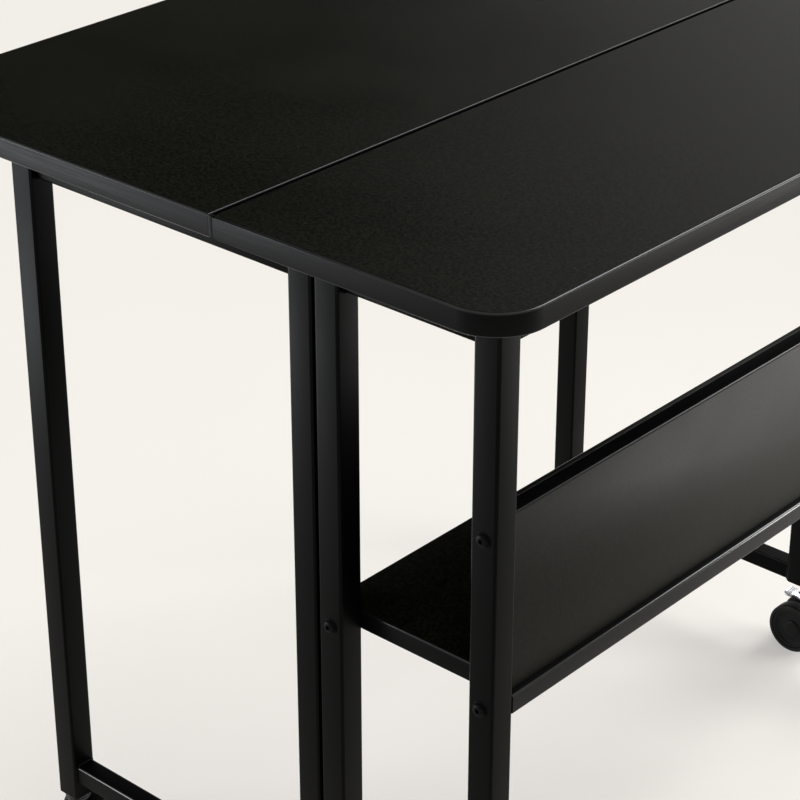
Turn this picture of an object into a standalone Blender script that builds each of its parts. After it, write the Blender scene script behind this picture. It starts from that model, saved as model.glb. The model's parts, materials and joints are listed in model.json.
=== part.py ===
"""Folding computer desk: a fixed board on a wheeled tube frame with a shelf,
and a drop leaf held up by two gates that swing out from the inner legs."""

import bpy
import bmesh
from math import cos, pi, radians, sin
from mathutils import Matrix, Vector

# Boards
TOP_W = 0.702            # both boards across, leaf up
TOP_L = 0.826            # length of the boards
TOP_T = 0.020            # thickness of the boards
DESK_H = 0.745           # floor to the top surface
FIXED_W = 0.293          # fixed board, outer edge to the seam
SEAM_GAP = 0.003         # open seam between the boards
CORNER_R = 0.045         # rounded outer corners
SEAM_R = 0.003           # small corners at the seam
ARRIS = 0.0015           # eased edges of the boards

# Tube frame
TUBE = 0.025             # square leg tube
TUBE_R = 0.0025          # corner radius of the tube
WALL = 0.0015            # wall of every tube
OVERHANG = 0.018         # board edge to the outer leg faces
FRAME_W = 0.1845         # fixed end frame across both legs
TOP_RAIL_H = 0.018       # flat rails under the boards, height
TOP_RAIL_D = 0.012       # flat rails under the boards, depth
FOOT_RAIL = 0.020        # square rails at the foot
FOOT_UP = 0.018          # foot rails above the leg ends
PLUG = 0.030             # depth of the end plug that takes a caster stem

# Gates
GATE_W = 0.349           # gate across both its legs
GATE_GAP = 0.003         # inner leg to the gate's pivot leg
GATE_DROP = 0.0035       # gate top below the boards
PAD_S = 0.019            # side of the support pad on the outer gate leg

# Gate hinges
HINGE_OFF = 0.006        # pivot axis behind the leg's back face
BRACKET_H = 0.036        # bracket height
EAR_T = 0.003            # bracket ears and back plate
EAR_R = 0.0055           # round end of an ear
BACK_W = 0.014           # back plate across the inner leg
BARREL_R = 0.005         # barrel on the pivot leg
PIN_R = 0.0025           # hinge pin
PIN_HEAD_R = 0.004       # pin head
PIN_HEAD_T = 0.002       # pin head thickness
HINGE_UP = 0.090         # upper hinge centre below the gate top
HINGE_LOW = 0.140        # lower hinge centre above the leg's end

# Shelf
SHELF_T = 0.018          # shelf board
SHELF_Z = 0.413          # shelf surface above the floor
SHELF_LIP = 0.0075       # shelf edge past the inner legs
SHELF_RAIL_H = 0.018     # tube along the shelf's outer side
RAIL_DROP = 0.011        # that tube's top below the shelf surface
PANEL_T = 0.015          # upright panel
PANEL_SET = 0.005        # panel face behind the outer leg faces
PANEL_H = 0.163          # panel height

# Seam hinges
SEAM_POS = 0.170         # hinge centre from each end of the boards
LEAF_LEN = 0.060         # hinge length along the seam
LEAF_W = 0.028           # plate width from the axis
LEAF_T = 0.002           # plate thickness, let into the boards
KNUCKLE_R = 0.003        # knuckle radius
SEAM_PIN_R = 0.0014      # seam hinge pin

# Casters
CASTER_H = 0.062         # floor to the leg's end
WHEEL_D = 0.056          # wheel diameter
WHEEL_W = 0.014          # one wheel's width
TYRE_E = 0.0025          # eased tyre edge
HUB_R = 0.018            # sunk hub face
HUB_SINK = 0.0015        # how far the hub face is sunk
TRAIL = 0.024            # stem axis to the axle
WEB_T = 0.012            # middle web between the wheels
WEB_GAP = 0.0015         # web to each wheel
BOSS_R = 0.009           # boss round the axle
AXLE_R = 0.004           # axle
STEM_R = 0.005           # stem in the leg's plug
STEM_L = 0.026           # stem length above the collar
COLLAR_R = 0.012         # collar under the leg
COLLAR_T = 0.006         # collar thickness
NECK_A = 0.0115          # half length of the neck
NECK_H = 0.016           # height of the neck below the collar
LEVER_IN = 0.0045        # lever pivot behind the neck's front
LEVER_R = 0.0032         # lever barrel
LEVER_PIN_R = 0.002      # lever pivot pin
LEVER_W = 0.007          # lever arm width
LEVER_T = 0.0025         # lever arm thickness
LEVER_L = 0.028          # arm length to the pedal
LEVER_RISE = 0.008       # arm's rise to the pedal
PEDAL_L = 0.009          # turned up pedal
PEDAL_W = 0.018          # pedal width
LEVER_DOWN = 0.0045      # pivot below the neck's top

# Clearances
FIT = 0.0003             # faces that rest on each other
RUN = 0.0003             # pins and stems in their holes
ROUND = 16               # sides of small round pieces

# Places that follow from the sizes
EDGE = TOP_W / 2
END = TOP_L / 2
UNDER = DESK_H - TOP_T
LEG_TOP = UNDER - FIT
GATE_TOP = UNDER - GATE_DROP
SEAM_X = EDGE - FIXED_W - SEAM_GAP / 2
LEG_Y = END - OVERHANG - TUBE / 2
BACK_Y = LEG_Y - TUBE / 2
OUT_X = EDGE - OVERHANG - TUBE / 2
IN_X = EDGE - OVERHANG - FRAME_W + TUBE / 2
PIVOT_X = IN_X - TUBE - GATE_GAP
GATE_X = PIVOT_X - GATE_W + TUBE
AXIS_Y = BACK_Y - HINGE_OFF
RAIL_TOP = SHELF_Z - RAIL_DROP
RAIL_W = PANEL_SET + PANEL_T
FOOT_Z = CASTER_H + FOOT_UP
PANEL_X = EDGE - OVERHANG - PANEL_SET
WHEEL_IN = WEB_T / 2 + WEB_GAP
WHEEL_OUT = WHEEL_IN + WHEEL_W
AXLE_Z = WHEEL_D / 2
NECK_TOP = CASTER_H - FIT - COLLAR_T
NECK_LOW = NECK_TOP - NECK_H
LEVER_X = NECK_A - LEVER_IN
LEVER_Z = NECK_TOP - LEVER_DOWN

for old in list(bpy.data.objects):
    bpy.data.objects.remove(old, do_unlink=True)


def material(name, colour, rough, metal=0.0):
    mat = bpy.data.materials.new(name)
    mat.use_nodes = True
    bsdf = mat.node_tree.nodes["Principled BSDF"]
    bsdf.inputs["Base Color"].default_value = (*colour, 1.0)
    bsdf.inputs["Roughness"].default_value = rough
    bsdf.inputs["Metallic"].default_value = metal
    return mat


BOARD = material("black_board", (0.012, 0.012, 0.011), 0.45)
STEEL = material("black_steel", (0.011, 0.012, 0.014), 0.38, 0.3)
PLASTIC = material("black_plastic", (0.010, 0.010, 0.010), 0.5)
ZINC = material("zinc", (0.45, 0.45, 0.44), 0.35, 1.0)
DARK = material("dark_steel", (0.05, 0.05, 0.055), 0.4, 0.8)


def rounded(width, depth, radii, segs):
    """Rounded rectangle about the origin, one radius and count per corner."""
    pts = []
    corners = ((1, 1, 0), (-1, 1, 90), (-1, -1, 180), (1, -1, 270))
    for (sx, sy, start), r, n in zip(corners, radii, segs):
        cx = sx * (width / 2 - r)
        cy = sy * (depth / 2 - r)
        for i in range(n + 1):
            a = radians(start + 90 * i / n)
            pts.append((cx + r * cos(a), cy + r * sin(a)))
    return pts


def square(side, radius, other=None):
    return rounded(side, other or side, [radius] * 4, [3] * 4)


def circle(radius, n=ROUND, turn=0.0):
    return [(radius * cos(2 * pi * (i + turn) / n), radius * sin(2 * pi * (i + turn) / n)) for i in range(n)]


def finish(name, bm, mat, place=(0, 0, 0), rot=(0, 0, 0)):
    bmesh.ops.recalc_face_normals(bm, faces=bm.faces)
    mesh = bpy.data.meshes.new(name)
    bm.to_mesh(mesh)
    bm.free()
    return put(name, mesh, mat, place, rot)


def put(name, mesh, mat, place=(0, 0, 0), rot=(0, 0, 0)):
    mesh.shade_smooth()
    mesh.set_sharp_from_angle(angle=radians(32))
    if not mesh.materials:
        mesh.materials.append(mat)
    obj = bpy.data.objects.new(name, mesh)
    bpy.context.scene.collection.objects.link(obj)
    obj.location = place
    obj.rotation_euler = rot
    return obj


def loft(rings, loop=False):
    """Skin rings of equal count, with flat ends unless the rings form a loop."""
    bm = bmesh.new()
    rows = [[bm.verts.new(p) for p in ring] for ring in rings]
    pairs = list(zip(rows, rows[1:]))
    if loop:
        pairs.append((rows[-1], rows[0]))
    for low, high in pairs:
        n = len(low)
        for i in range(n):
            bm.faces.new((low[i], low[(i + 1) % n], high[(i + 1) % n], high[i]))
    if not loop:
        bm.faces.new(rows[0])
        bm.faces.new(rows[-1])
    return bm


def flat(outline, z):
    return [(x, y, z) for x, y in outline]


def prism(outline, z0, z1):
    return loft([flat(outline, z0), flat(outline, z1)])


def combine(name, base, mat, add=(), cut=(), place=(0, 0, 0), rot=(0, 0, 0)):
    """Join and cut bmesh shapes into one body."""
    main = finish(name, base, mat)
    tools = []
    jobs = [(bm, "UNION") for bm in add] + [(bm, "DIFFERENCE") for bm in cut]
    for bm, kind in jobs:
        tool = finish(name + "_tool", bm, mat)
        step = main.modifiers.new("step", "BOOLEAN")
        step.operation = kind
        step.object = tool
        tools.append(tool)
    bpy.context.view_layer.update()
    graph = bpy.context.evaluated_depsgraph_get()
    mesh = bpy.data.meshes.new_from_object(main.evaluated_get(graph))
    bpy.data.objects.remove(main, do_unlink=True)
    for tool in tools:
        bpy.data.objects.remove(tool, do_unlink=True)
    mesh.name = name
    return put(name, mesh, mat, place, rot)


def box(x0, x1, y0, y1, z0, z1):
    pts = [(x0, y0), (x1, y0), (x1, y1), (x0, y1)]
    return prism(pts, z0, z1)


def turned(bm, matrix):
    bmesh.ops.transform(bm, matrix=matrix, verts=bm.verts)
    return bm


def rod(radius, length, centre, axis, n=ROUND):
    """Round bar about a centre, along X, Y or Z."""
    spin = {"X": Matrix.Rotation(pi / 2, 4, "Y"), "Y": Matrix.Rotation(pi / 2, 4, "X"), "Z": Matrix()}[axis]
    bm = prism(circle(radius, n, 0.5), -length / 2, length / 2)
    return turned(bm, Matrix.Translation(Vector(centre)) @ spin)


def board(name, x0, x1, radii, segs, pockets):
    """Board with rounded plan corners and eased edges, cut for the seam hinges."""
    rings = []
    for inset, z in ((ARRIS, UNDER), (0, UNDER + ARRIS), (0, DESK_H - ARRIS),
                     (ARRIS * 0.3, DESK_H - ARRIS * 0.3), (ARRIS, DESK_H)):
        plan = rounded(x1 - x0 - 2 * inset, TOP_L - 2 * inset, [r - inset for r in radii], segs)
        rings.append([(x + (x0 + x1) / 2, y, z) for x, y in plan])
    return combine(name, loft(rings), BOARD, cut=pockets)


def seam_pockets(side):
    """Room for one plate and for the whole knuckle, in the underside at each hinge."""
    shapes = []
    for end in (-1, 1):
        y = end * (END - SEAM_POS)
        half = LEAF_LEN / 2 + FIT
        reach = SEAM_X + side * (LEAF_W + FIT)
        shapes.append(box(min(SEAM_X, reach), max(SEAM_X, reach), y - half, y + half,
                          UNDER - LEAF_T, UNDER + LEAF_T + FIT))
        notch = KNUCKLE_R + 2 * FIT
        shapes.append(rod(notch / cos(pi / ROUND), 2 * half, (SEAM_X, y, UNDER), "Y"))
    return shapes


board("fixed_top", SEAM_X + SEAM_GAP / 2, EDGE, (CORNER_R, SEAM_R, SEAM_R, CORNER_R), (9, 2, 2, 9), seam_pockets(1))
leaf_far = -EDGE
board("drop_leaf", leaf_far, SEAM_X - SEAM_GAP / 2, (SEAM_R, CORNER_R, CORNER_R, SEAM_R), (2, 9, 9, 2),
      seam_pockets(-1))


def leg(name, x, y, low, top, stem):
    """Closed-top square tube, open below or plugged and bored for a caster stem."""
    outer = square(TUBE, TUBE_R)
    inner = square(TUBE - 2 * WALL, max(TUBE_R - WALL, WALL / 3))
    rings = [flat(outer, top), flat(outer, low)]
    floor = low
    if stem:
        bore = circle(STEM_R + RUN, len(outer), 0.5)
        floor = low + PLUG
        rings += [flat(bore, low), flat(bore, floor)]
    rings += [flat(inner, floor), flat(inner, top - WALL)]
    return finish(name, loft(rings), STEEL, (x, y, 0))


def tube(name, width, height, centre, length, axis, mat=STEEL):
    """Open-ended rectangular tube along X or Y; width is level, height is upright."""
    outer = square(width, TUBE_R, height)
    inner = square(width - 2 * WALL, max(TUBE_R - WALL, WALL / 3), height - 2 * WALL)
    h = length / 2
    bm = loft([flat(outer, h), flat(outer, -h), flat(inner, -h), flat(inner, h)], loop=True)
    lay = Matrix.Rotation(pi / 2, 4, "X")
    if axis == "X":
        lay = Matrix.Rotation(pi / 2, 4, "Z") @ lay
    return finish(name, turned(bm, lay), mat, centre)


SIDES = (("near", -1), ("far", 1))
for word, s in SIDES:
    y = s * LEG_Y
    leg("leg_outer_" + word, OUT_X, y, CASTER_H, LEG_TOP, True)
    leg("leg_inner_" + word, IN_X, y, CASTER_H, LEG_TOP, True)
    span = OUT_X - IN_X - TUBE - 2 * FIT
    mid = (OUT_X + IN_X) / 2
    tube("end_rail_top_" + word, TOP_RAIL_D, TOP_RAIL_H, (mid, y, LEG_TOP - TOP_RAIL_H / 2), span, "X")
    tube("end_rail_foot_" + word, FOOT_RAIL, FOOT_RAIL, (mid, y, FOOT_Z + FOOT_RAIL / 2), span, "X")

# Long rails, shelf and upright panel between the two end frames
run = 2 * BACK_Y - 2 * FIT
for word, x in (("outer", OUT_X), ("inner", IN_X)):
    tube("long_rail_" + word, TOP_RAIL_D, TOP_RAIL_H, (x, 0, LEG_TOP - TOP_RAIL_H / 2), run, "Y")
rail_x = EDGE - OVERHANG - RAIL_W / 2
tube("shelf_rail", RAIL_W, SHELF_RAIL_H, (rail_x, 0, RAIL_TOP - SHELF_RAIL_H / 2), run, "Y")


def slab(name, x0, x1, length, z0, z1):
    """Flat board with lightly eased edges."""
    ease = ARRIS / 2
    rings = []
    for inset, z in ((ease, z0), (0, z0 + ease), (0, z1 - ease), (ease, z1)):
        plan = rounded(x1 - x0 - 2 * inset, length - 2 * inset, [ARRIS - inset] * 4, [1] * 4)
        rings.append([(x + (x0 + x1) / 2, y, z) for x, y in plan])
    return finish(name, loft(rings), BOARD)


slab("shelf_panel", PANEL_X - PANEL_T, PANEL_X, run, RAIL_TOP + FIT, RAIL_TOP + PANEL_H)
slab("shelf_board", IN_X - TUBE / 2 - SHELF_LIP, PANEL_X - PANEL_T - FIT, run, SHELF_Z - SHELF_T, SHELF_Z)

# Seam hinges: the fixed plate has the two end knuckles, the leaf's plate the middle one
for word, s in SIDES:
    y = s * (END - SEAM_POS)
    third = LEAF_LEN / 3
    hole = rod(SEAM_PIN_R + RUN, LEAF_LEN * 2, (0, 0, 0), "Y", 12)
    grow = KNUCKLE_R / cos(pi / ROUND)
    ends = [rod(grow, third - FIT, (0, e * third, 0), "Y") for e in (-1, 1)]
    clear = KNUCKLE_R + 2 * FIT
    gap = box(-clear, clear, -third / 2 - FIT, third / 2 + FIT, -clear, clear)
    plate = box(0, LEAF_W, -LEAF_LEN / 2, LEAF_LEN / 2, 0, LEAF_T)
    combine("seam_plate_fixed_" + word, plate, DARK, add=ends, cut=[gap, hole], place=(SEAM_X, y, UNDER))
    plate = box(-LEAF_W, 0, -LEAF_LEN / 2, LEAF_LEN / 2, 0, LEAF_T)
    gaps = []
    for e in (-1, 1):
        low = third / 2 - FIT
        high = LEAF_LEN
        gaps.append(box(-clear, clear, min(e * low, e * high), max(e * low, e * high), -clear, clear))
    middle = rod(grow, third - 2 * FIT, (0, 0, 0), "Y")
    hole = rod(SEAM_PIN_R + RUN, LEAF_LEN * 2, (0, 0, 0), "Y", 12)
    combine("seam_plate_leaf_" + word, plate, DARK, add=[middle], cut=gaps + [hole], place=(SEAM_X, y, UNDER))
    finish("seam_pin_" + word, rod(SEAM_PIN_R, LEAF_LEN, (0, 0, 0), "Y", 12), ZINC, (SEAM_X, y, UNDER))


def gate(word, s):
    """One gate frame: its legs and rails share the upright pivot axis."""
    y = s * LEG_Y
    hub = bpy.data.objects.new("gate_axis_" + word, None)
    bpy.context.scene.collection.objects.link(hub)
    hub.location = (PIVOT_X, s * AXIS_Y, 0)
    span = PIVOT_X - GATE_X - TUBE - 2 * FIT
    mid = (PIVOT_X + GATE_X) / 2
    parts = [
        leg("gate_pivot_leg_" + word, PIVOT_X, y, FOOT_Z, GATE_TOP, False),
        leg("gate_outer_leg_" + word, GATE_X, y, CASTER_H, GATE_TOP, True),
        tube("gate_rail_top_" + word, TOP_RAIL_D, TOP_RAIL_H, (mid, y, GATE_TOP - TOP_RAIL_H / 2), span, "X"),
        tube("gate_rail_foot_" + word, FOOT_RAIL, FOOT_RAIL, (mid, y, FOOT_Z + FOOT_RAIL / 2), span, "X"),
        finish("gate_pad_" + word, prism(square(PAD_S, TUBE_R), GATE_TOP + FIT, UNDER - FIT), PLASTIC, (GATE_X, y, 0)),
    ]
    heights = (("upper", GATE_TOP - HINGE_UP), ("lower", CASTER_H + HINGE_LOW))
    for level, z in heights:
        parts.append(gate_hinge(level + "_" + word, s, z))
    for part in parts:
        part.parent = hub
        part.matrix_parent_inverse = Matrix.Translation(-hub.location)
    return hub


def gate_hinge(tag, s, z):
    """Bracket on the inner leg, pin, and the barrel that the pivot leg turns on."""
    place = (PIVOT_X, s * AXIS_Y, z)
    half = BRACKET_H / 2
    # Local frame: the leg's back face lies at s * HINGE_OFF from the axis
    back = s * (HINGE_OFF - FIT)
    front = back - s * EAR_T
    x1 = IN_X + TUBE / 2 - PIVOT_X - (TUBE - BACK_W)
    x0 = IN_X - TUBE / 2 - PIVOT_X + FIT
    plate = box(x0, x1, min(back, front), max(back, front), -half, half)
    ears = []
    holes = [rod(PIN_R + RUN, BRACKET_H * 2, (0, 0, 0), "Z")]
    for e in (-1, 1):
        low = min(e * half, e * (half - EAR_T))
        arc = [(EAR_R * cos(radians(a)), EAR_R * sin(radians(a))) for a in range(105, 286, 20)]
        outline = [(x0 + BACK_W / 2, -EAR_R)] + [(x0 + BACK_W / 2, EAR_R)] + arc
        outline = [(x, y) for x, y in outline]
        ears.append(prism(outline, low, low + EAR_T))
    combine("gate_bracket_" + tag, plate, STEEL, add=ears, cut=holes, place=place)
    pin = prism(circle(PIN_R), -half - PIN_HEAD_T, half + FIT)
    head = prism(circle(PIN_HEAD_R), half + FIT, half + FIT + PIN_HEAD_T)
    combine("gate_pin_" + tag, pin, ZINC, add=[turned(head, Matrix.Translation((0, 0, -FIT / 2)))], place=place)
    tall = half - EAR_T - FIT
    web = box(-BARREL_R * 0.8, BARREL_R * 0.8, min(0, back), max(0, back), -tall, tall)
    barrel = prism(circle(BARREL_R, ROUND, 0.5), -tall, tall)
    bore = rod(PIN_R + RUN, BRACKET_H, (0, 0, 0), "Z")
    return combine("gate_barrel_" + tag, barrel, STEEL, add=[web], cut=[bore], place=place)


for word, s in SIDES:
    gate(word, s)


def wheel_mesh():
    """Two wheels and their axle, turned about Y."""
    r = WHEEL_D / 2
    side = [(WHEEL_OUT - HUB_SINK, HUB_R * 0.45), (WHEEL_OUT - HUB_SINK, HUB_R), (WHEEL_OUT, HUB_R + HUB_SINK),
            (WHEEL_OUT, r - TYRE_E), (WHEEL_OUT - TYRE_E * 0.3, r - TYRE_E * 0.3), (WHEEL_OUT - TYRE_E, r),
            (WHEEL_IN + TYRE_E, r), (WHEEL_IN, r - TYRE_E), (WHEEL_IN, AXLE_R)]
    profile = [(-b, q) for b, q in side] + list(reversed(side))
    n = 24
    rings = [[(q * cos(2 * pi * i / n), b, q * sin(2 * pi * i / n)) for i in range(n)] for b, q in profile]
    obj = finish("wheel_pattern", loft(rings), PLASTIC)
    mesh = obj.data
    bpy.data.objects.remove(obj)
    return mesh


def across(outline, half):
    """Outline in the caster's side plane, given width across the axle."""
    bm = prism(outline, -half, half)
    return turned(bm, Matrix.Rotation(pi / 2, 4, "X"))


def body_mesh(brake):
    """Stem, collar, neck and the middle web down to the axle boss; trail along +X."""
    arc = [radians(a) for a in range(215, 396, 30)]
    boss = [(TRAIL + BOSS_R * cos(a), AXLE_Z + BOSS_R * sin(a)) for a in arc]
    web = [(-NECK_A, NECK_TOP + FIT), (-NECK_A, NECK_LOW)] + boss + [(NECK_A, NECK_LOW), (NECK_A, NECK_TOP + FIT)]
    collar = prism(circle(COLLAR_R, 20), NECK_TOP, NECK_TOP + COLLAR_T)
    stem = prism(circle(STEM_R, ROUND, 0.5), NECK_TOP + COLLAR_T / 2, CASTER_H + STEM_L)
    cut = [rod(AXLE_R + RUN, WEB_T * 3, (TRAIL, 0, AXLE_Z), "Y")]
    if brake:
        gap = LEVER_W / 2 + RUN
        room = LEVER_R + 2 * RUN
        cut.append(box(LEVER_X - room, NECK_A * 2, -gap, gap, LEVER_Z - room, LEVER_Z + room))
        cut.append(rod(LEVER_PIN_R + RUN, WEB_T * 3, (LEVER_X, 0, LEVER_Z), "Y", 12))
    obj = combine("caster_pattern", across(web, WEB_T / 2), DARK, add=[collar, stem], cut=cut)
    mesh = obj.data
    bpy.data.objects.remove(obj)
    return mesh


def lever_mesh():
    """Brake lever about its own pivot, which lies along Y."""
    t = LEVER_T / 2
    tip = LEVER_L + PEDAL_L
    arm = [(0, -t), (LEVER_L, LEVER_RISE - t), (LEVER_L, LEVER_RISE + t), (0, t)]
    pedal = [(LEVER_L - t, LEVER_RISE - t), (tip, LEVER_RISE), (tip, LEVER_RISE + LEVER_T), (LEVER_L - t, LEVER_RISE + t)]
    barrel = rod(LEVER_R, LEVER_W, (0, 0, 0), "Y")
    pin = rod(LEVER_PIN_R, WEB_T, (0, 0, 0), "Y", 12)
    obj = combine("lever_pattern", barrel, ZINC, add=[across(arm, LEVER_W / 2 - FIT), across(pedal, PEDAL_W / 2), pin])
    mesh = obj.data
    bpy.data.objects.remove(obj)
    return mesh


WHEELS = wheel_mesh()
BODY_BRAKE = body_mesh(True)
BODY_PLAIN = body_mesh(False)
LEVER = lever_mesh()


def caster(tag, x, y, brake, turn):
    """Caster under a leg, its trail turned from +X by an angle."""
    back = (0, 0, turn)
    ax = cos(turn)
    ay = sin(turn)
    body = put("caster_body_" + tag, BODY_BRAKE if brake else BODY_PLAIN, DARK, (x, y, 0), back)
    wheels = put("caster_wheels_" + tag, WHEELS, PLASTIC, (x + ax * TRAIL, y + ay * TRAIL, AXLE_Z), back)
    parts = [body, wheels]
    if brake:
        parts.append(put("caster_lever_" + tag, LEVER, ZINC, (x + ax * LEVER_X, y + ay * LEVER_X, LEVER_Z), back))
    return parts


for word, s in SIDES:
    caster("outer_" + word, OUT_X, s * LEG_Y, True, pi)
    caster("inner_" + word, IN_X, s * LEG_Y, True, pi)
    caster("gate_" + word, GATE_X, s * LEG_Y, False, -s * pi / 2)
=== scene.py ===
# %% [markdown]
# # A folding computer desk
# The desk is a fixed board on a wheeled tube frame, with a low shelf, an upright panel and a leaf
# that two gates hold up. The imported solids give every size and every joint. This lesson dresses
# them: finer meshes take the place of the plain solids, and small fittings are added. Lengths are
# in metres.

# %% Load the solids
import json
from math import cos, pi, radians, sin

import bmesh
import bpy
from mathutils import Matrix, Vector

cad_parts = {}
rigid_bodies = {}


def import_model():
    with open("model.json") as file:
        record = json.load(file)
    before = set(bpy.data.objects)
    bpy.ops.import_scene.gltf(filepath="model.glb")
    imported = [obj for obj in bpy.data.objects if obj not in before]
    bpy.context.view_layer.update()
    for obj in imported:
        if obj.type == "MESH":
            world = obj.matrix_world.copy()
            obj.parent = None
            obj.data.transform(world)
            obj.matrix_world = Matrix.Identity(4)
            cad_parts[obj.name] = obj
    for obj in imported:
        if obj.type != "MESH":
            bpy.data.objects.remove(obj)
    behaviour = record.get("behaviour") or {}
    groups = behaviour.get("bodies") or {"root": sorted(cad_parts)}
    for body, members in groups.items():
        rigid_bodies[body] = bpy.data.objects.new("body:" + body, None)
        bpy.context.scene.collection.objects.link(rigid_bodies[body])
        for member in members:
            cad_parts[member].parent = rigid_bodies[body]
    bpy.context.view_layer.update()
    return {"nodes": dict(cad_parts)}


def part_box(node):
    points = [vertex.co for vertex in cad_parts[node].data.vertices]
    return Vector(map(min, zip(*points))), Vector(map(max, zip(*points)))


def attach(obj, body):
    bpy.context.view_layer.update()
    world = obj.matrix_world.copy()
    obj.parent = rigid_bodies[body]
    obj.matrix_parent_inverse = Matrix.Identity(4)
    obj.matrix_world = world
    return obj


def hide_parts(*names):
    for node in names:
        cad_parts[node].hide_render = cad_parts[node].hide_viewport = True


for stray in list(bpy.data.objects):
    bpy.data.objects.remove(stray, do_unlink=True)
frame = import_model()
nodes = frame["nodes"]
ENDS = (("near", -1), ("far", 1))

# %% [markdown]
# ## Writing shaders as sums
# A finish is a small tree of nodes. Adding each node and link by hand hides what the finish does,
# so a Wire wraps one output socket and turns +, -, *, < and > into Math nodes. Every other node
# comes from one method, which takes its type, its settings and its sockets.

# %% Wires and finishes
class Wire:
    """One output socket. Sums on it add Math nodes to its finish."""

    def __init__(self, finish, socket):
        self.finish = finish
        self.socket = socket

    def maths(self, operation, first, second):
        return self.finish.node("ShaderNodeMath", {"operation": operation}, {0: first, 1: second})

    def __add__(self, other):
        return self.maths("ADD", self, other)

    __radd__ = __add__

    def __sub__(self, other):
        return self.maths("SUBTRACT", self, other)

    def __rsub__(self, other):
        return self.maths("SUBTRACT", other, self)

    def __mul__(self, other):
        return self.maths("MULTIPLY", self, other)

    __rmul__ = __mul__

    def __gt__(self, other):
        return self.maths("GREATER_THAN", self, other)

    def __lt__(self, other):
        return self.maths("LESS_THAN", self, other)


class Finish:
    """A material or world tree that grows node by node."""

    def __init__(self, block):
        block.use_nodes = True
        self.block = block
        self.tree = block.node_tree

    def node(self, kind, settings=None, sockets=None, out=0):
        made = self.tree.nodes.new(kind)
        for key, value in (settings or {}).items():
            setattr(made, key, value)
        self.feed(made, sockets or {})
        return Wire(self, made.outputs[out])

    def feed(self, node, sockets):
        for key, value in sockets.items():
            if isinstance(value, Wire):
                self.tree.links.new(value.socket, node.inputs[key])
            else:
                node.inputs[key].default_value = value

    def place(self):
        return self.node("ShaderNodeTexCoord", out=3)

    def stretch(self, where, scale):
        settings = {"operation": "MULTIPLY"}
        return self.node("ShaderNodeVectorMath", settings, {0: where, 1: scale})

    def upward(self, vector):
        return self.node("ShaderNodeSeparateXYZ", None, {0: vector}, 2)

    def noise(self, where, scale, detail=2.0, rough=0.5):
        sockets = {"Vector": where, "Scale": scale, "Detail": detail, "Roughness": rough}
        return self.node("ShaderNodeTexNoise", None, sockets)

    def cells(self, where, scale):
        return self.node("ShaderNodeTexVoronoi", None, {"Vector": where, "Scale": scale})

    def spread(self, value, low, high, to_low=0.0, to_high=1.0):
        sockets = {0: value, 1: low, 2: high, 3: to_low, 4: to_high}
        return self.node("ShaderNodeMapRange", {"interpolation_type": "SMOOTHSTEP"}, sockets)

    def blend(self, share, first, second):
        sockets = {0: share, 6: first, 7: second}
        return self.node("ShaderNodeMix", {"data_type": "RGBA"}, sockets, 2)

    def bump(self, height, distance, strength):
        sockets = {"Height": height, "Distance": distance, "Strength": strength}
        return self.node("ShaderNodeBump", None, sockets)

    # Value of 1 in the middle of a rounded edge: it places wear, and on the band and the tubes also
    # a painted highlight.
    def edge_wear_and_highlight(self):
        return self.node("ShaderNodeAttribute", {"attribute_name": "edge_wear_and_highlight"}, None, 2)


def paint(name, **sockets):
    """New material: plain numbers are set on the shader's own sockets."""
    finish = Finish(bpy.data.materials.new(name))
    finish.shader = finish.tree.nodes["Principled BSDF"]
    finish.feed(finish.shader, sockets)
    return finish


def grey(value, blue=1.0):
    return (value, value, value * blue, 1.0)


print("finishes are written as sums of wires")

# %% [markdown]
# ## The board's foil
# The boards carry a black foil. On the real desk it looks almost flat, with a very fine grain and a
# few pale flecks of dust. A photo texture would do, but a noise for the cloudy tone, a finer one
# for the grain and sparse cells for the flecks stay sharp from any distance. The top is the
# smoothest, the shelf is the most matt, and the panel is rougher and more even in tone.

# %% Foil
def foiled(name, gloss, rough, dark=0.0002, pale=0.0105):
    foil = paint(name, **{"Specular IOR Level": gloss})
    here = foil.place()
    cloud = foil.noise(here, 7.0, 4.0)
    grain = foil.noise(here, 1300.0)
    mottle = foil.spread(foil.noise(here, 330.0, 3.0, 0.6), 0.36, 0.66)
    fleck = foil.cells(here, 75.0) < 0.035
    sparse = foil.noise(here, 31.0, 1.0) > 0.52
    tone = foil.blend(cloud * 0.25 + mottle * 0.75, grey(dark, 0.6), grey(pale, 0.58))
    foil.feed(foil.shader, {
        "Base Color": foil.blend(fleck * sparse * 0.45, tone, grey(0.09, 1.02)),
        "Roughness": foil.spread(cloud, 0.3, 0.7, rough, rough + 0.05),
        "Normal": foil.bump(grain, 0.00004, 0.6),
    })
    return foil


foil = foiled("board_foil", 0.1, 0.22)
shelf_foil = foiled("shelf_foil", 0.025, 0.34)
panel_foil = foiled("panel_foil", 0.098, 0.47, dark=0.003, pale=0.0072)
print("foil ready")

# %% [markdown]
# ## The edge band
# A plastic band about two millimetres thick is glued round each board. It shows faint
# lengthwise streaks from the roller that pressed it on, and its rounded edges are polished by use.
# There its base colour is also lighter, partly as wear and partly as a painted highlight.

# %% Edge band
band = paint("edge_band", **{"Specular IOR Level": 0.062, "Coat Roughness": 0.2})
here = band.place()
streak = band.noise(band.stretch(here, (18.0, 18.0, 900.0)), 1.0, 3.0)
peel = band.noise(here, 520.0, 1.0)
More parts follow.
